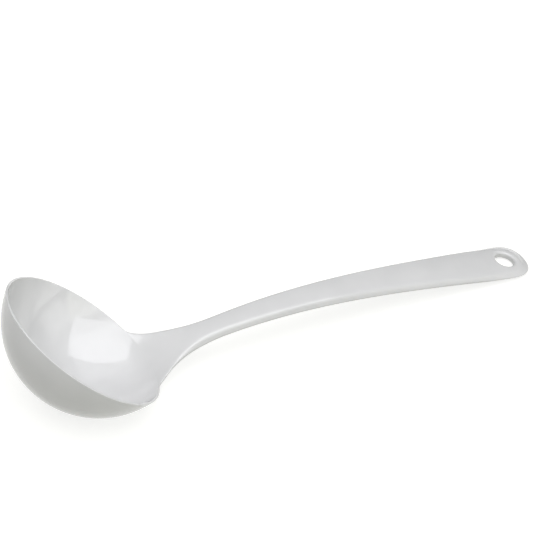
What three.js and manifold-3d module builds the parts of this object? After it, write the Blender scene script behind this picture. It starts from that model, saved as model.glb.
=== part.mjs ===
// A sauce ladle moulded in one sheet of hard plastic, in millimetres, lying on a table on its bowl and tip.
import * as THREE from 'three';
import { mergeVertices } from 'three/addons/utils/BufferGeometryUtils.js';
import Module from 'manifold-3d';

// Bowl
const rimRadius = 35; // outside of the wall at the rim
const bowlDepth = 26.3; // from the rim down to the underside
const bowlWall = 2; // at the bottom
const lipThickness = 1.4; // at the rim

// Spine, the middle line of the handle's upper face, whose rise is taken from the plane of the rim
const spineLength = 178.4;
const neckRise = 59.2; // degrees, where the handle leaves the rim
const tipRise = 27.3; // degrees, along the straight end
const riseEase = 2.27; // a higher value bends the spine nearer to the bowl
const straightEnd = 23.6;
const ridgeLength = 10; // stretch in which the wall of the bowl turns into the neck

// Plan of the handle
const neckWidth = 8.7; // where the taper starts, at the rim
const tipWidth = 21.1; // where the taper would end, at the tip
const taperEase = 1.28;
const flareReach = 14.4; // added on each side of the neck at the rim
const flareLength = 33.2;
const troughLength = 24.6; // stretch in which the neck loses the round of the bowl
const tipRounding = 10.8;
const tipSquareness = 2.28; // 2 is an ellipse
const crownHeight = 0.5; // how far the upper face falls off to its sides

// Thickness of the handle
const neckThickness = 3.8;
const tipThickness = 1.7;
const thinningEase = 2.5; // a higher value keeps the handle thick for longer
const thickeningLength = 24; // stretch in which the lip of the bowl grows to the handle's thickness
const edgeSquareness = 2.8; // of the rounded edge all round, 2 is a half circle

// Hanging eye
const eyeDiameter = 8.1;
const eyeFromTip = 10;
const eyeChamfer = 0.4;

// Facets
const neckColumns = 12;
const bowlColumns = 44;
const bowlRows = 12;
const neckRows = 12;
const handleRows = 22;
const tipRows = 8;
const edgeSteps = 5;

// What follows from the sizes above
const sphereRadius = (rimRadius ** 2 + bowlDepth ** 2) / (2 * bowlDepth);
const sphereHeight = sphereRadius - bowlDepth;
const rimAngle = Math.acos(sphereHeight / sphereRadius);
const innerRim = (sphereRadius - lipThickness) * Math.sin(rimAngle);
const innerRimHeight = sphereHeight - (sphereRadius - lipThickness) * Math.cos(rimAngle);
const innerDepth = innerRimHeight + bowlDepth - bowlWall;
const innerRadius = (innerRim ** 2 + innerDepth ** 2) / (2 * innerDepth);
const innerHeight = bowlWall - bowlDepth + innerRadius;
const innerAngle = Math.acos(1 - innerDepth / innerRadius);
const tipEnd = spineLength - tipThickness / 2;
const tipStart = spineLength - tipRounding;
const flareAngle = Math.asin(faceHalfWidth(0) / innerRim);

function easeOut(s, length) {
  return Math.max(1 - s / length, 0);
}

function riseAt(s) {
  const bend = easeOut(s, spineLength - straightEnd) ** riseEase;
  const ridge = easeOut(s, ridgeLength) ** 2;
  const neck = THREE.MathUtils.degToRad(neckRise);
  const tip = THREE.MathUtils.degToRad(tipRise);
  return tip + (neck - tip) * bend + (innerAngle - neck) * ridge;
}

function spineAt(s) {
  const steps = 160;
  const point = bowlPoint(innerRadius, innerHeight, innerAngle, 0);
  for (let i = 0; i < steps; i += 1) {
    const rise = riseAt((s * (i + 0.5)) / steps);
    point.x += (Math.cos(rise) * s) / steps;
    point.z += (Math.sin(rise) * s) / steps;
  }
  return point;
}

function thicknessAt(s) {
  const handle = THREE.MathUtils.lerp(neckThickness, tipThickness, (s / spineLength) ** thinningEase);
  return THREE.MathUtils.lerp(lipThickness, handle, THREE.MathUtils.smoothstep(s, 0, thickeningLength));
}

// How far the crown of the upper face falls off at its edge
function crownFall(s) {
  return crownHeight * THREE.MathUtils.smoothstep(s, 0, 2 * troughLength);
}

function tipShare(s) {
  return THREE.MathUtils.clamp((s - tipStart) / (tipEnd - tipStart), 0, 1);
}

// Half the width of the upper face between its rounded edges, as if the tip were not rounded
function sideHalfWidth(s) {
  const taper = neckWidth + (tipWidth - neckWidth) * (s / spineLength) ** taperEase;
  const flare = flareReach * (1 - Math.sqrt(1 - easeOut(s, flareLength) ** 2));
  return taper / 2 + flare - (thicknessAt(s) - crownFall(s)) / 2;
}

function faceHalfWidth(s) {
  return sideHalfWidth(s) * (1 - tipShare(s) ** tipSquareness) ** (1 / tipSquareness);
}

// A point of a sphere, by the height of its centre, its angle from the bottom and its turn from the handle
function bowlPoint(radius, height, angle, turn) {
  const r = radius * Math.sin(angle);
  return new THREE.Vector3(r * Math.cos(turn), r * Math.sin(turn), height - radius * Math.cos(angle));
}

// The sheet is built from pairs: a point on the upper face and the one below it on the lower face
function bowlPair(share, turn) {
  const angle = rimAngle * share;
  const outward = new THREE.Vector3(0, 0, Math.sin(angle));
  outward.x = Math.cos(angle) * Math.cos(turn);
  outward.y = Math.cos(angle) * Math.sin(turn);
  const upper = bowlPoint(innerRadius, innerHeight, innerAngle * share, turn);
  const lower = bowlPoint(sphereRadius, sphereHeight, angle, turn);
  return { upper, lower, outward };
}

function upperPoint(s, across) {
  const y = across * faceHalfWidth(s);
  const point = spineAt(s);
  const sag = innerRim - Math.sqrt(innerRim ** 2 - y ** 2);
  point.x -= sag * (1 - THREE.MathUtils.smoothstep(s, 0, troughLength));
  point.y = y;
  return point;
}

function handlePair(s, across) {
  const upper = upperPoint(s, across);
  const rise = riseAt(s);
  const trough = 1 - THREE.MathUtils.smoothstep(s, 0, troughLength);
  const lean = (trough * upper.y) / Math.sqrt(innerRim ** 2 - upper.y ** 2);
  const down = new THREE.Vector3(Math.sin(rise), lean * Math.sin(rise), -Math.cos(rise)).normalize();
  const lower = upper.clone().addScaledVector(down, thicknessAt(s));
  const fall = (upper.y / sideHalfWidth(s)) ** 2 + tipShare(s) ** 2;
  upper.addScaledVector(down, crownFall(s) * Math.min(fall, 1));
  const step = 0.01;
  const along = upperPoint(s + step, across).sub(upperPoint(s - step, across));
  const outward = new THREE.Vector3().crossVectors(along, down).multiplyScalar(Math.sign(across)).normalize();
  return { upper, lower, outward };
}

function tipPair() {
  const pair = handlePair(tipEnd, 0);
  const rise = riseAt(tipEnd);
  pair.outward.set(Math.cos(rise), 0, Math.sin(rise));
  return pair;
}

// The rounded edge of the sheet at one pair, from its upper point to its lower one
function edgeProfile({ upper, lower, outward }) {
  const middle = upper.clone().lerp(lower, 0.5);
  const half = upper.clone().sub(middle);
  const points = [];
  for (let k = 0; k <= edgeSteps; k += 1) {
    const turn = (Math.PI * k) / edgeSteps;
    const rise = Math.sign(Math.cos(turn)) * Math.abs(Math.cos(turn)) ** (2 / edgeSquareness);
    const reach = half.length() * Math.abs(Math.sin(turn)) ** (2 / edgeSquareness);
    points.push(middle.clone().addScaledVector(half, rise).addScaledVector(outward, reach));
  }
  points[0].copy(upper);
  points[edgeSteps].copy(lower);
  return points;
}

// A closed solid from pairs, faces of pair numbers, the free edge and the flat cut that closes it
function sheetSolid(pairs, faces, edge, cut) {
  const points = [];
  const polygon = (corners) => {
    for (let i = 1; i < corners.length - 1; i += 1) {
      points.push(corners[0], corners[i], corners[i + 1]);
    }
  };
  for (const face of faces) {
    polygon(face.map((i) => pairs[i].upper));
    polygon(face.map((i) => pairs[i].lower).reverse());
  }
  const profiles = edge.map((i) => edgeProfile(pairs[i]));
  for (let i = 0; i < edge.length - 1; i += 1) {
    const [a, b] = [profiles[i], profiles[i + 1]];
    for (let k = 0; k < edgeSteps; k += 1) {
      polygon([b[k], a[k], a[k + 1], b[k + 1]]);
    }
  }
  for (let i = 0; i < cut.length - 1; i += 1) {
    const [a, b] = [pairs[cut[i]], pairs[cut[i + 1]]];
    polygon([b.upper, a.upper, a.lower, b.lower]);
  }
  polygon(profiles.at(-1));
  polygon([...profiles[0]].reverse());
  const geometry = new THREE.BufferGeometry().setFromPoints(points);
  return mergeVertices(geometry, 1e-4);
}

// Numbers of the four pairs of a face in a grid of rows, each row a list of pair numbers
function gridFaces(rows) {
  const faces = [];
  for (let i = 0; i < rows.length - 1; i += 1) {
    for (let j = 0; j < rows[i].length - 1; j += 1) {
      faces.push([rows[i][j], rows[i + 1][j], rows[i + 1][j + 1], rows[i][j + 1]]);
    }
  }
  return faces;
}

// Places across the neck and handle, spaced as the rim is
const acrossPlaces = [];
for (let j = 0; j <= neckColumns; j += 1) {
  const turn = flareAngle * ((2 * j) / neckColumns - 1);
  acrossPlaces.push(Math.sin(turn) / Math.sin(flareAngle));
}

function bowlGeometry() {
  const pairs = [];
  const add = (pair) => pairs.push(pair) - 1;
  const turns = acrossPlaces.map((across, j) => flareAngle * ((2 * j) / neckColumns - 1));
  for (let j = 1; j <= bowlColumns; j += 1) {
    turns.push(flareAngle + ((2 * Math.PI - 2 * flareAngle) * j) / bowlColumns);
  }
  const bottom = add(bowlPair(0, 0));
  const rings = [];
  for (let i = 1; i <= bowlRows; i += 1) {
    const ring = turns.slice(0, -1).map((turn) => add(bowlPair(i / bowlRows, turn)));
    rings.push([...ring, ring[0]]);
  }
  const faces = gridFaces(rings);
  for (let j = 0; j < turns.length - 1; j += 1) {
    faces.push([bottom, rings[0][j], rings[0][j + 1]]);
  }
  const rim = rings.at(-1);
  const rows = [rim.slice(0, neckColumns + 1)];
  for (let i = 1; i <= neckRows; i += 1) {
    const s = flareLength * (1 - Math.cos((Math.PI * i) / (2 * neckRows)));
    rows.push(acrossPlaces.map((across) => add(handlePair(s, across))));
  }
  faces.push(...gridFaces(rows));
  const nearSide = rows.slice(1).map((row) => row[0]);
  const farSide = rows.slice(1).map((row) => row[neckColumns]);
  const edge = [...farSide.reverse(), ...rim.slice(neckColumns), ...nearSide];
  return sheetSolid(pairs, faces, edge, rows.at(-1));
}

function handleGeometry() {
  const pairs = [];
  const add = (pair) => pairs.push(pair) - 1;
  const stations = [];
  for (let i = 0; i < handleRows; i += 1) {
    stations.push(THREE.MathUtils.lerp(flareLength, tipStart, i / handleRows));
  }
  for (let i = 0; i < tipRows; i += 1) {
    stations.push(tipStart + (tipEnd - tipStart) * Math.sin((Math.PI * i) / (2 * tipRows)));
  }
  const rows = stations.map((s) => acrossPlaces.map((across) => add(handlePair(s, across))));
  const faces = gridFaces(rows);
  const tip = add(tipPair());
  const last = rows.at(-1);
  for (let j = 0; j < neckColumns; j += 1) {
    faces.push([last[j], tip, last[j + 1]]);
  }
  const nearSide = rows.map((row) => row[0]);
  const farSide = rows.map((row) => row[neckColumns]);
  const edge = [...nearSide, tip, ...farSide.reverse()];
  return sheetSolid(pairs, faces, edge, [...rows[0]].reverse());
}

// A round cutter for the eye, opened to a chamfer at both faces
function eyeGeometry() {
  const place = spineLength - eyeFromTip;
  const radius = eyeDiameter / 2;
  const land = thicknessAt(place) / 2 - eyeChamfer;
  const past = thicknessAt(place);
  const mouth = radius + past - land;
  const profile = [
    new THREE.Vector2(0, -past),
    new THREE.Vector2(mouth, -past),
    new THREE.Vector2(radius, -land),
    new THREE.Vector2(radius, land),
    new THREE.Vector2(mouth, past),
    new THREE.Vector2(0, past),
  ];
  const { upper, lower } = handlePair(place, 0);
  const middle = upper.lerp(lower, 0.5);
  const geometry = new THREE.LatheGeometry(profile, 32);
  geometry.rotateX(Math.PI / 2);
  geometry.rotateY(-riseAt(place));
  geometry.translate(middle.x, middle.y, middle.z);
  return geometry;
}

const wasm = await Module();
wasm.setup();

function toManifold(geometry) {
  const bare = geometry.clone();
  bare.deleteAttribute('normal');
  bare.deleteAttribute('uv');
  const merged = mergeVertices(bare, 1e-4);
  return new wasm.Manifold(
    new wasm.Mesh({
      numProp: 3,
      vertProperties: new Float32Array(merged.attributes.position.array),
      triVerts: new Uint32Array(merged.index.array),
    }),
  );
}

function cutGeometry(solid, cutter) {
  const mesh = toManifold(solid).subtract(toManifold(cutter)).getMesh();
  const geometry = new THREE.BufferGeometry();
  geometry.setAttribute('position', new THREE.BufferAttribute(mesh.vertProperties, 3));
  geometry.setIndex(new THREE.BufferAttribute(mesh.triVerts, 1));
  return geometry;
}

// The tilt at which the table touches both the round of the bowl and the handle
function restTilt(handle) {
  const points = handle.attributes.position;
  let tilt = Math.PI;
  for (let i = 0; i < points.count; i += 1) {
    const x = points.getX(i);
    const z = points.getZ(i) - sphereHeight;
    tilt = Math.min(tilt, Math.atan2(z, x) + Math.asin(sphereRadius / Math.hypot(x, z)));
  }
  return tilt;
}

function glossyWhite() {
  return new THREE.MeshStandardMaterial({ color: 0xe6e6e2, roughness: 0.25, metalness: 0 });
}

function part(name, geometry) {
  geometry.computeVertexNormals();
  const mesh = new THREE.Mesh(geometry, glossyWhite());
  mesh.name = name;
  return mesh;
}

const bowl = part('bowl', bowlGeometry());
const handle = part('handle', cutGeometry(handleGeometry(), eyeGeometry()));

const ladle = new THREE.Group();
ladle.add(bowl, handle);
ladle.rotation.y = restTilt(handle.geometry);

// The origin is on the table, under the middle of the ladle
const group = new THREE.Group();
group.add(ladle);
const box = new THREE.Box3().setFromObject(group, true);
const middle = box.getCenter(new THREE.Vector3());
ladle.position.set(-middle.x, -middle.y, -box.min.z);

export default group;
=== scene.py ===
# White sauce ladle: one glossy moulding that lies on its bowl and the tip of its handle
import math
from collections import Counter

import bpy
from mathutils import Matrix, Vector


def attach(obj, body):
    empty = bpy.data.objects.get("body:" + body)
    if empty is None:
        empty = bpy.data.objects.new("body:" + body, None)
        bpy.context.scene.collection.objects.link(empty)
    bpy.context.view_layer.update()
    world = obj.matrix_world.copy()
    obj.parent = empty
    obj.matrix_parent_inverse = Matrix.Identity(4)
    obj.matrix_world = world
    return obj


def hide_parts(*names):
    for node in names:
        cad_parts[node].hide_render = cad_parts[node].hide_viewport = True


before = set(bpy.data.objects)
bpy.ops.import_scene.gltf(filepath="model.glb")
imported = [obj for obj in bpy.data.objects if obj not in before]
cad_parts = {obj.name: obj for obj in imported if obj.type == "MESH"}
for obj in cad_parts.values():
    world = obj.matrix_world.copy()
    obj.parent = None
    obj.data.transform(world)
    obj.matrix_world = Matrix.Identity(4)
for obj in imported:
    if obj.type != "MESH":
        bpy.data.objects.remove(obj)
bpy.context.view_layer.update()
mm = 0.001
print("frame loaded:", ", ".join(sorted(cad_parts)))

# sizes in mm and degrees, in the bowl's own frame: x towards the handle, z square to the rim
ladle = {
    "rimRadius": 35.0,  # outside of the wall
    "bowlDepth": 26.62,
    "wall": 2.0,  # at the bottom of the bowl
    "lip": 0.9,  # thickness at the rim
    "lipRound": 0.5,  # degrees between the last rings, which keep the lip narrow
    "spineLength": 176.7,  # along the upper face, from the rim to just past the tip
    "neckRise": 55.7,  # slope of the spine, from the plane of the rim
    "tipRise": 27.87,
    "riseEase": 2.125,  # higher bends the spine nearer to the bowl
    "straightEnd": 17.2,  # last stretch of the spine, which no longer bends
    "bendLength": 24.3,  # in which the slope of the wall turns into that of the neck
    "neckWidth": 9.33,
    "tipWidth": 21.2,
    "taperEase": 1.374,  # higher keeps the handle narrow for longer
    "flareReach": 15.0,  # half axes of the flare's ellipse, across and along
    "flareLength": 31.7,
    "flareCut": 0.97,  # under 1 the flare meets the rim at an angle
    "troughLength": 26.2,  # in which the neck loses the round of the bowl
    "filletShare": 0.38,  # part of that round that is lost sooner
    "filletLength": 7.0,
    "crown": 1.2,  # fall of the upper face to its sides, where the handle is widest
    "neckThickness": 3.06,
    "tipThickness": 3.03,
    "thinEase": 2.5,  # higher keeps the handle thick for longer
    "thickeningLength": 24.0,  # from the lip to the full thickness of the handle
    "edgeRound": 0.74,  # share of the thickness that the crown and the upper edge take
    "leastRound": 0.1,  # of the upper edge
    "tipRounding": 10.4,  # from the middle of the eye to the tip
    "tipSquareness": 2.38,  # 2 is an ellipse
    "tipSharp": 0.85,  # taken off the round of the upper edge at the tip
    "underRound": 1.4,  # round of the lower edge at the tip
    "eyeDiameter": 8.4,
    "eyeFromEnd": 11.6,  # from the end of the spine
    "eyeRound": 1.0,  # round of the eye's mouth
}

# how finely the sheet is drawn before it is smoothed
grid = {
    "segments": 100,  # round the bowl
    "rings": 12,  # from the bowl's bottom towards the rim
    "lipRings": 2,  # close together at the rim
    "columns": 16,  # across the handle
    "eyeColumns": 10,  # of these, the ones that stop at the eye
    "flareRows": 12,
    "handleRows": 24,
    "tipSteps": 14,
    "spineSteps": 160,
    "edgeCuts": 2,  # along the strip between the two faces
    "smoothing": 2,
    "close": 0.01,  # mm, points nearer than this are one
}

sphereRadius = (ladle["rimRadius"] ** 2 + ladle["bowlDepth"] ** 2) / (2 * ladle["bowlDepth"])
sphereHeight = sphereRadius - ladle["bowlDepth"]
rimAngle = math.acos(sphereHeight / sphereRadius)

# the inside is a sphere of its own, since the wall is thinner at the rim
innerRim = (sphereRadius - ladle["lip"]) * math.sin(rimAngle)
rimHeight = sphereHeight - (sphereRadius - ladle["lip"]) * math.cos(rimAngle)
innerBottom = ladle["wall"] - ladle["bowlDepth"]
innerDepth = rimHeight - innerBottom
innerRadius = (innerRim ** 2 + innerDepth ** 2) / (2 * innerDepth)
innerHeight = innerBottom + innerRadius
innerAngle = math.acos(1 - innerDepth / innerRadius)
flareTurn = math.pi * grid["columns"] / grid["segments"]
eyePlace = ladle["spineLength"] - ladle["eyeFromEnd"]
eyeBack = eyePlace - ladle["tipRounding"]
close = grid["close"] * mm


def smoothStep(x):
    x = min(max(x, 0.0), 1.0)
    return x * x * (3 - 2 * x)


def easeOut(s, length):
    return max(1 - s / length, 0.0)


def riseAt(s):  # slope of the spine, s mm from the rim
    neck = math.radians(ladle["neckRise"])
    tip = math.radians(ladle["tipRise"])
    bend = easeOut(s, ladle["spineLength"] - ladle["straightEnd"]) ** ladle["riseEase"]
    neckBend = 1 - smoothStep(s / ladle["bendLength"])
    return tip + (neck - tip) * bend + (innerAngle - neck) * neckBend


def spineAt(s):
    steps = grid["spineSteps"]
    x = innerRim
    z = rimHeight
    for i in range(steps):
        rise = riseAt(s * (i + 0.5) / steps)
        x += math.cos(rise) * s / steps
        z += math.sin(rise) * s / steps
    return Vector((x, 0, z)) * mm


def thicknessAt(s):
    share = (s / ladle["spineLength"]) ** ladle["thinEase"]
    handle = ladle["neckThickness"] + (ladle["tipThickness"] - ladle["neckThickness"]) * share
    return ladle["lip"] + (handle - ladle["lip"]) * smoothStep(s / ladle["thickeningLength"])


def wallAt(place):  # of the bowl, from a point of the inside straight out to the outside
    outward = (place - Vector((0, 0, innerHeight))).normalized()
    offset = place - Vector((0, 0, sphereHeight))
    reach = offset.dot(outward)
    return math.sqrt(reach ** 2 + sphereRadius ** 2 - offset.length_squared) - reach


def halfWidthAt(s):
    share = s / ladle["spineLength"]
    taper = ladle["neckWidth"] + (ladle["tipWidth"] - ladle["neckWidth"]) * share ** ladle["taperEase"]
    ahead = ladle["flareCut"] * easeOut(s, ladle["flareLength"])
    return taper / 2 + ladle["flareReach"] * (1 - math.sqrt(1 - ahead ** 2))


def quarterRound(distance, radius):  # fall of a round edge, by the distance from its outline
    turn = max(1 - distance / radius, 0.0)
    return radius * (1 - math.sqrt(1 - turn ** 2))


def outAt(s, y):  # 0 in the middle of the handle, 1 at its outline
    power = ladle["tipSquareness"]
    side = halfWidthAt(min(s, eyePlace))
    past = max(s - eyePlace, 0.0) / ladle["tipRounding"]
    return min((abs(y / side) ** power + past ** power) ** (1 / power), 1.0)


def tipShare(s):  # 0 behind the eye, 1 at the end of the spine
    return smoothStep((s - eyeBack) / (ladle["spineLength"] - eyeBack))


def liftAt(s, y):  # how far the lower edge of the tip is rounded off
    outline = 0.98  # only the points on the outline come up
    return ladle["underRound"] * tipShare(s) * (outAt(s, y) > outline)


def fallAt(s, y):  # how far the upper face falls off from its middle
    probe = 0.1  # mm
    side = halfWidthAt(min(s, eyePlace))
    slant = (side - halfWidthAt(min(s, eyePlace) + probe)) / probe
    out = outAt(s, y)
    share = (2 * side / ladle["tipWidth"]) ** 2
    crown = ladle["crown"] * share * smoothStep(s / ladle["flareLength"])
    deep = ladle["edgeRound"] * thicknessAt(s) * smoothStep(s / ladle["thickeningLength"])
    deep -= crown + ladle["tipSharp"] * tipShare(s)
    inside = side * (1 - out) / math.hypot(1, slant)
    edge = quarterRound(inside, max(deep, ladle["leastRound"]))
    fromEye = math.hypot(s - eyePlace, y) - ladle["eyeDiameter"] / 2
    eye = quarterRound(max(fromEye, 0.0), ladle["eyeRound"])
    return crown * out ** 2 + edge + eye


def sagAt(s):  # how far the sides of a row lie behind its middle
    y = halfWidthAt(s)
    fillet = ladle["filletShare"] * easeOut(s, ladle["filletLength"]) ** 2
    trough = fillet + (1 - ladle["filletShare"]) * (1 - smoothStep(s / ladle["troughLength"]))
    return (innerRim - math.sqrt(innerRim ** 2 - y ** 2)) * trough


def pickPoints(obj, test):
    # selects the points that pass, and the edges and faces between them, in edit mode
    bpy.ops.mesh.select_mode(type="VERT")
    bpy.ops.mesh.select_all(action="DESELECT")
    bpy.ops.object.mode_set(mode="OBJECT")
    for point in obj.data.vertices:
        point.select = test(point.co)
    bpy.ops.object.mode_set(mode="EDIT")


def pickEdges(obj, test):
    # selects the edges that pass, in edit mode
    bpy.ops.mesh.select_mode(type="EDGE")
    bpy.ops.mesh.select_all(action="DESELECT")
    bpy.ops.object.mode_set(mode="OBJECT")
    for edge in obj.data.edges:
        edge.select = test(edge)
    bpy.ops.object.mode_set(mode="EDIT")


def spinBowl():
    # a point at the bottom is spun into the wall's arc, and the arc into the bowl
    bottom = Vector((0, 0, innerBottom)) * mm
    middle = Vector((0, 0, innerHeight)) * mm
    lipAngle = math.radians(ladle["lipRound"]) * grid["lipRings"]
    bpy.ops.mesh.primitive_plane_add(size=mm)
    bowl = bpy.context.object
    bpy.ops.object.mode_set(mode="EDIT")
    bpy.ops.mesh.merge(type="CENTER")
    bpy.ops.transform.translate(value=bottom)
    bpy.ops.mesh.spin(steps=grid["rings"], angle=innerAngle - lipAngle, center=middle, axis=(0, -1, 0))
    bpy.ops.mesh.spin(steps=grid["lipRings"], angle=lipAngle, center=middle, axis=(0, -1, 0))
    bpy.ops.mesh.select_all(action="SELECT")
    bpy.ops.mesh.spin(steps=grid["segments"], angle=math.tau, center=middle, axis=(0, 0, 1))
    bpy.ops.mesh.select_all(action="SELECT")
    bpy.ops.mesh.remove_doubles(threshold=close)
    return bowl


def handleStations():
    # rows of the handle up to the eye, close together where the flare leaves the rim
    flare = ladle["flareLength"]
    stations = []
    for i in range(1, grid["flareRows"] + 1):
        stations.append(flare * (1 - math.cos(math.pi * i / 2 / grid["flareRows"])))
    for i in range(1, grid["handleRows"] + 1):
        stations.append(flare + (eyeBack - flare) * i / grid["handleRows"])
    return stations


def drawHandle(obj):
    # the rim's edges at the neck are extruded row by row along the spine
    place = spineAt(0)
    flareX = innerRim * math.cos(flareTurn) * mm
    pickPoints(obj, lambda co: abs(co.z - place.z) < close and co.x > flareX - close)
    wide = innerRim * math.sin(flareTurn)
    sag = innerRim * (1 - math.cos(flareTurn))
    for s in handleStations():
        bpy.ops.mesh.extrude_region_move(TRANSFORM_OT_translate={"value": spineAt(s) - place})
        place = spineAt(s)
        bowed = sagAt(s) / sag if sag else 1  # past the trough the rows are straight
        bpy.ops.transform.resize(value=(bowed, halfWidthAt(s) / wide, 1), center_override=place)
        wide = halfWidthAt(s)
        sag = sagAt(s)


def drawEye(obj):
    # the outer columns pass the eye, then a spoke is spun round it into the tip
    eye = spineAt(eyePlace)
    back = spineAt(eyeBack)
    rise = riseAt(eyePlace)
    along = Vector((math.cos(rise), 0, math.sin(rise)))
    normal = Vector((-math.sin(rise), 0, math.cos(rise)))
    eyeShare = math.sin(flareTurn * grid["eyeColumns"] / grid["columns"]) / math.sin(flareTurn)
    outer = halfWidthAt(eyePlace) * mm
    ring = outer * eyeShare
    backRing = halfWidthAt(eyeBack) * mm * eyeShare
    # a round loop draws in when it is smoothed
    shrink = (2 + math.cos(math.pi / grid["eyeColumns"])) / 3
    hole = ladle["eyeDiameter"] / 2 / shrink * mm
    mouth = hole + ladle["eyeRound"] * mm

    pickPoints(obj, lambda co: abs(co.z - back.z) < close and abs(co.y) > backRing - close)
    bpy.ops.mesh.extrude_region_move(TRANSFORM_OT_translate={"value": eye - back})
    bpy.ops.transform.resize(value=(1, ring / backRing, 1), center_override=eye)
    pickPoints(obj, lambda co: abs(co.z - eye.z) < close and abs(co.y - ring) < close)
    bpy.ops.mesh.extrude_region_move(TRANSFORM_OT_translate={"value": (0, mouth - ring, 0)})
    bpy.ops.mesh.extrude_region_move(TRANSFORM_OT_translate={"value": (0, hole - mouth, 0)})

    pickPoints(obj, lambda co: abs(co.z - eye.z) < close and co.y > hole - close)
    bpy.ops.mesh.spin(steps=grid["tipSteps"], angle=math.pi, center=eye, axis=normal)
    pickPoints(obj, lambda co: abs(co.z - eye.z) < close and hole - close < co.y < ring + close)
    bpy.ops.mesh.spin(steps=grid["eyeColumns"], angle=-math.pi, center=eye, axis=normal)
    bpy.ops.mesh.select_all(action="SELECT")
    bpy.ops.mesh.remove_doubles(threshold=close)

    # the half ring behind the eye is bridged to the row that stops there
    def onBackRing(co):
        behind = (co - eye).dot(along) < close
        return behind and abs((co - eye).length - ring) < close

    def onBackRow(co):
        return abs(co.z - back.z) < close and abs(co.y) < backRing + close

    def bridged(edge):
        a, b = (obj.data.vertices[i].co for i in edge.vertices)
        return (onBackRing(a) and onBackRing(b)) or (onBackRow(a) and onBackRow(b))

    pickEdges(obj, bridged)
    bpy.ops.mesh.bridge_edge_loops()
    shapeTip(obj, eye, along, outer)


def shapeTip(obj, eye, along, outer):
    # each spoke of the tip is stretched from a round end to the squarer one
    length = ladle["tipRounding"] * mm
    power = ladle["tipSquareness"]
    for i in range(1, grid["tipSteps"]):
        turn = math.pi / 2 - math.pi * i / grid["tipSteps"]
        far = abs(math.cos(turn) / length) ** power + abs(math.sin(turn) / outer) ** power
        stretch = far ** (-1 / power) / outer
        spoke = along * math.cos(turn) + Vector((0, math.sin(turn), 0))
        pickPoints(obj, lambda co: (co - eye - spoke * outer).length < close)
        bpy.ops.transform.resize(value=(stretch, stretch, stretch), center_override=eye)


def weighSheet(obj):
    # how thick the sheet is at each point, and how much of it the falls leave
    tipEnd = eyePlace + ladle["tipRounding"]
    heights = [spineAt(s).z for s in range(math.ceil(tipEnd) + 2)]
    full = obj.vertex_groups.new(name="full")
    left = obj.vertex_groups.new(name="left")
    for point in obj.data.vertices:
        if point.co.z < heights[0] + close:
            thick = wallAt(point.co / mm)
            fall = 0
        else:
            s = sum(height < point.co.z for height in heights[1:])
            s += (point.co.z - heights[s]) / (heights[s + 1] - heights[s])
            thick = thicknessAt(s) - liftAt(s, point.co.y / mm)
            fall = fallAt(s, point.co.y / mm)
        full.add([point.index], thick / ladle["neckThickness"], "REPLACE")
        left.add([point.index], (thick - fall) / ladle["neckThickness"], "REPLACE")


def thicken(obj):
    # the sheet, drawn as the upper face, is let down to the underside and the wall grows up from there
    bpy.ops.mesh.select_all(action="SELECT")
    bpy.ops.mesh.normals_make_consistent(inside=False)
    bpy.ops.object.mode_set(mode="OBJECT")
    lowest = min(obj.data.polygons, key=lambda face: face.center.z)
    if lowest.normal.z < 0:
        bpy.ops.object.mode_set(mode="EDIT")
        bpy.ops.mesh.flip_normals()
        bpy.ops.object.mode_set(mode="OBJECT")
    sheetFaces = len(obj.data.polygons)
    weighSheet(obj)
    under = obj.modifiers.new("under", "DISPLACE")
    under.strength = -ladle["neckThickness"] * mm
    under.mid_level = 0
    under.vertex_group = "full"
    bpy.ops.object.modifier_apply(modifier="under")
    wall = obj.modifiers.new("wall", "SOLIDIFY")
    wall.thickness = ladle["neckThickness"] * mm
    wall.offset = 1
    wall.vertex_group = "left"
    wall.use_quality_normals = True
    bpy.ops.object.modifier_apply(modifier="wall")
    return sheetFaces


def roundEdges(obj, sheetFaces):
    # the strip round the edge, whose faces come after the two sheets, is cut along its length and smoothed
    strips = Counter()
    for face in obj.data.polygons:
        if face.index >= 2 * sheetFaces:
            strips.update(face.edge_keys)
    bpy.ops.object.mode_set(mode="EDIT")
    pickEdges(obj, lambda edge: strips[edge.key] == 2)
    bpy.ops.mesh.subdivide(number_cuts=grid["edgeCuts"])
    bpy.ops.mesh.select_all(action="SELECT")
    bpy.ops.mesh.normals_make_consistent(inside=False)
    bpy.ops.object.mode_set(mode="OBJECT")
    soft = obj.modifiers.new("soft", "SUBSURF")
    soft.levels = grid["smoothing"]
    soft.render_levels = grid["smoothing"]
    bpy.ops.object.modifier_apply(modifier="soft")
    bpy.ops.object.shade_smooth()


def layDown(obj):
    # turned until the table touches both the bowl and the tip, then centred over the origin
    handleX = ladle["rimRadius"] * 2  # past this only the handle is left
    tilt = math.pi
    for point in obj.data.vertices:
        x = point.co.x / mm
        z = point.co.z / mm - sphereHeight
        if x > handleX:
            tilt = min(tilt, math.atan2(z, x) + math.asin(sphereRadius / math.hypot(x, z)))
    obj.rotation_euler = (0, tilt, 0)
    bpy.ops.object.transform_apply(location=True, rotation=True, scale=True)
    low = min(point.co.x for point in obj.data.vertices)
    high = max(point.co.x for point in obj.data.vertices)
    floorHeight = (sphereHeight * math.cos(tilt) - sphereRadius) * mm
    obj.location = (-(low + high) / 2, 0, -floorHeight)
    bpy.ops.object.transform_apply(location=True, rotation=True, scale=True)


bpy.ops.object.select_all(action="DESELECT")
moulding = spinBowl()
moulding.name = "ladle_moulding"
drawHandle(moulding)
drawEye(moulding)
sheetFaces = thicken(moulding)
roundEdges(moulding, sheetFaces)
layDown(moulding)
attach(moulding, "root")
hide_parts("bowl", "handle")
print("moulding:", len(moulding.data.polygons), "faces")

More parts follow.
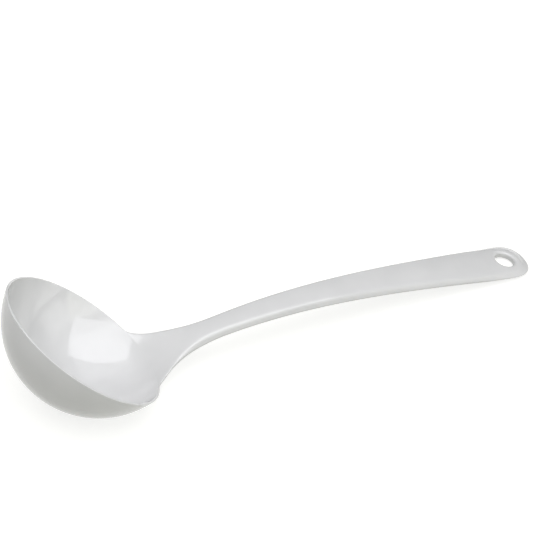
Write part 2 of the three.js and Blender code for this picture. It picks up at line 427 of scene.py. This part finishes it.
# glossy white of the moulding, sizes in mm
gloss = {
    "pale": (0.795, 0.80, 0.80),
    "dull": (0.76, 0.766, 0.766),
    "cloudSize": 18.0,
    "cloudDetail": 3,
    "smooth": 0.05,
    "rough": 0.09,
    "handledSize": 9.0,  # patches that hands and washing have dulled
    "handledDetail": 4,
    "spread": (0.35, 0.65),  # values of the noise at which a patch begins and is full
    "peelSize": 1.6,  # the faint orange peel of the mould
    "peelDetail": 1,
    "peelDepth": 0.004,
    "index": 1.65,
}


def glossyWhite():
    material = bpy.data.materials.new("glossy_white")
    material.use_nodes = True
    nodes = material.node_tree.nodes
    links = material.node_tree.links
    shader = nodes["Principled BSDF"]
    shader.inputs["IOR"].default_value = gloss["index"]
    place = nodes.new("ShaderNodeTexCoord")

    def noise(size, detail):
        made = nodes.new("ShaderNodeTexNoise")
        made.inputs["Scale"].default_value = 1 / (size * mm)
        made.inputs["Detail"].default_value = detail
        links.new(place.outputs["Object"], made.inputs["Vector"])
        return made.outputs["Fac"]

    def between(fac, low, high):
        made = nodes.new("ShaderNodeMapRange")
        begin, full = gloss["spread"]
        made.inputs["From Min"].default_value = begin
        made.inputs["From Max"].default_value = full
        made.inputs["To Min"].default_value = low
        made.inputs["To Max"].default_value = high
        links.new(fac, made.inputs["Value"])
        return made.outputs["Result"]

    cloud = noise(gloss["cloudSize"], gloss["cloudDetail"])
    tint = nodes.new("ShaderNodeMix")
    tint.data_type = "RGBA"  # its colours are inputs 6 and 7 and output 2
    tint.inputs[6].default_value = (*gloss["dull"], 1)
    tint.inputs[7].default_value = (*gloss["pale"], 1)
    links.new(between(cloud, 0, 1), tint.inputs[0])
    links.new(tint.outputs[2], shader.inputs["Base Color"])
    handled = noise(gloss["handledSize"], gloss["handledDetail"])
    roughness = between(handled, gloss["smooth"], gloss["rough"])
    links.new(roughness, shader.inputs["Roughness"])
    bump = nodes.new("ShaderNodeBump")
    bump.inputs["Distance"].default_value = gloss["peelDepth"] * mm
    links.new(noise(gloss["peelSize"], gloss["peelDetail"]), bump.inputs["Height"])
    links.new(bump.outputs["Normal"], shader.inputs["Normal"])
    return material


moulding.data.materials.clear()
moulding.data.materials.append(glossyWhite())
print("finish: glossy white")

# white table, in metres
table = {
    "size": 8.0,
    "colour": (0.415, 0.42, 0.39),
    "glow": 0.78,  # seen by the camera and in reflections, which makes the table white
}


def whiteTable():
    bpy.ops.object.select_all(action="DESELECT")
    bpy.ops.mesh.primitive_plane_add(size=table["size"])
    top = bpy.context.object
    top.name = "table_top"
    material = bpy.data.materials.new("table_white")
    material.use_nodes = True
    nodes = material.node_tree.nodes
    links = material.node_tree.links
    shader = nodes["Principled BSDF"]
    shader.inputs["Base Color"].default_value = (*table["colour"], 1)
    shader.inputs["Roughness"].default_value = 1
    shader.inputs["Specular IOR Level"].default_value = 0
    shader.inputs["Emission Color"].default_value = (1, 1, 1, 1)
    path = nodes.new("ShaderNodeLightPath")
    seen = path.outputs["Is Camera Ray"]
    for kind in ("Is Glossy Ray", "Is Transmission Ray"):
        either = nodes.new("ShaderNodeMath")
        either.operation = "MAXIMUM"
        links.new(seen, either.inputs[0])
        links.new(path.outputs[kind], either.inputs[1])
        seen = either.outputs[0]
    glow = nodes.new("ShaderNodeMath")
    glow.operation = "MULTIPLY"
    glow.inputs[1].default_value = table["glow"]
    links.new(seen, glow.inputs[0])
    links.new(glow.outputs[0], shader.inputs["Emission Strength"])
    top.data.materials.append(material)


# soft boxes over the bowl, overhead, in front and at the right, and a dim room, in metres and watts
lamps = {
    "window_box": {
        "place": (-0.213, -0.233, 1.133),
        "aim": (-0.246, 0.164, 0.108),
        "size": (1.67, 1.12),
        "turn": -32.5,  # degrees about its own axis
        "power": 10.9,
        "colour": (0.962, 0.955, 1.0),
    },
    "top_box": {
        "place": (0.0, 0.0, 2.2),
        "aim": (0.0, 0.0, 0.0),
        "size": (2.6, 2.6),
        "turn": 0.0,
        "power": 12.6,
        "colour": (1.0, 0.997, 1.0),
    },
    "front_box": {
        "place": (-0.1, -2.0, 0.9),
        "aim": (0.0, 0.0, 0.0),
        "size": (1.8, 1.2),
        "turn": 0.0,
        "power": 6.3,
        "colour": (0.99, 1.0, 0.86),
    },
    "right_box": {
        "place": (1.5, -1.5, 0.9),
        "aim": (0.0, 0.0, 0.0),
        "size": (1.5, 1.2),
        "turn": 0.0,
        "power": 3.2,
        "colour": (1.0, 1.0, 0.985),
    },
}
room = {
    "colour": (0.99, 0.99, 0.93),
    "strength": 0.165,
}


def softBox(name, values):
    bpy.ops.object.light_add(type="AREA", location=values["place"])
    box = bpy.context.object
    box.name = name
    box.data.shape = "RECTANGLE"
    box.data.size, box.data.size_y = values["size"]
    box.data.energy = values["power"]
    box.data.color = values["colour"]
    aim = Vector(values["aim"]) - Vector(values["place"])
    turned = aim.to_track_quat("-Z", "Y").to_matrix().to_4x4()
    turned = turned @ Matrix.Rotation(math.radians(values["turn"]), 4, "Z")
    box.rotation_euler = turned.to_euler()


def evenRoom():
    world = bpy.data.worlds.new("room")
    world.use_nodes = True
    back = world.node_tree.nodes["Background"]
    back.inputs["Color"].default_value = (*room["colour"], 1)
    back.inputs["Strength"].default_value = room["strength"]
    bpy.context.scene.world = world


whiteTable()
for name, values in lamps.items():
    softBox(name, values)
evenRoom()
print("light:", ", ".join(lamps))

# camera of the picture, in mm and degrees; the picture is 550 pixels square
view = {
    "azimuth": -29.872,
    "elevation": 42.14,
    "roll": 4.883,
    "distance": 767.3,
    "target": (3.05, 13.93, 19.02),
    "focalPixels": 1932.5,
    "picture": 550,
    "sensor": 36.0,
    "clipStart": 10.0,
}


def photoCamera():
    turn = Matrix.Rotation(math.radians(view["azimuth"]), 4, "Z")
    turn = turn @ Matrix.Rotation(math.radians(90 - view["elevation"]), 4, "X")
    turn = turn @ Matrix.Rotation(math.radians(view["roll"]), 4, "Z")
    place = (Vector(view["target"]) + turn.to_3x3() @ Vector((0, 0, view["distance"]))) * mm
    bpy.ops.object.camera_add()
    camera = bpy.context.object
    camera.matrix_world = Matrix.Translation(place) @ turn
    camera.data.sensor_width = view["sensor"]
    camera.data.lens = view["focalPixels"] * view["sensor"] / view["picture"]
    camera.data.clip_start = view["clipStart"] * mm
    bpy.context.scene.camera = camera


photoCamera()
bpy.context.scene.view_settings.view_transform = "Standard"
print("camera set")
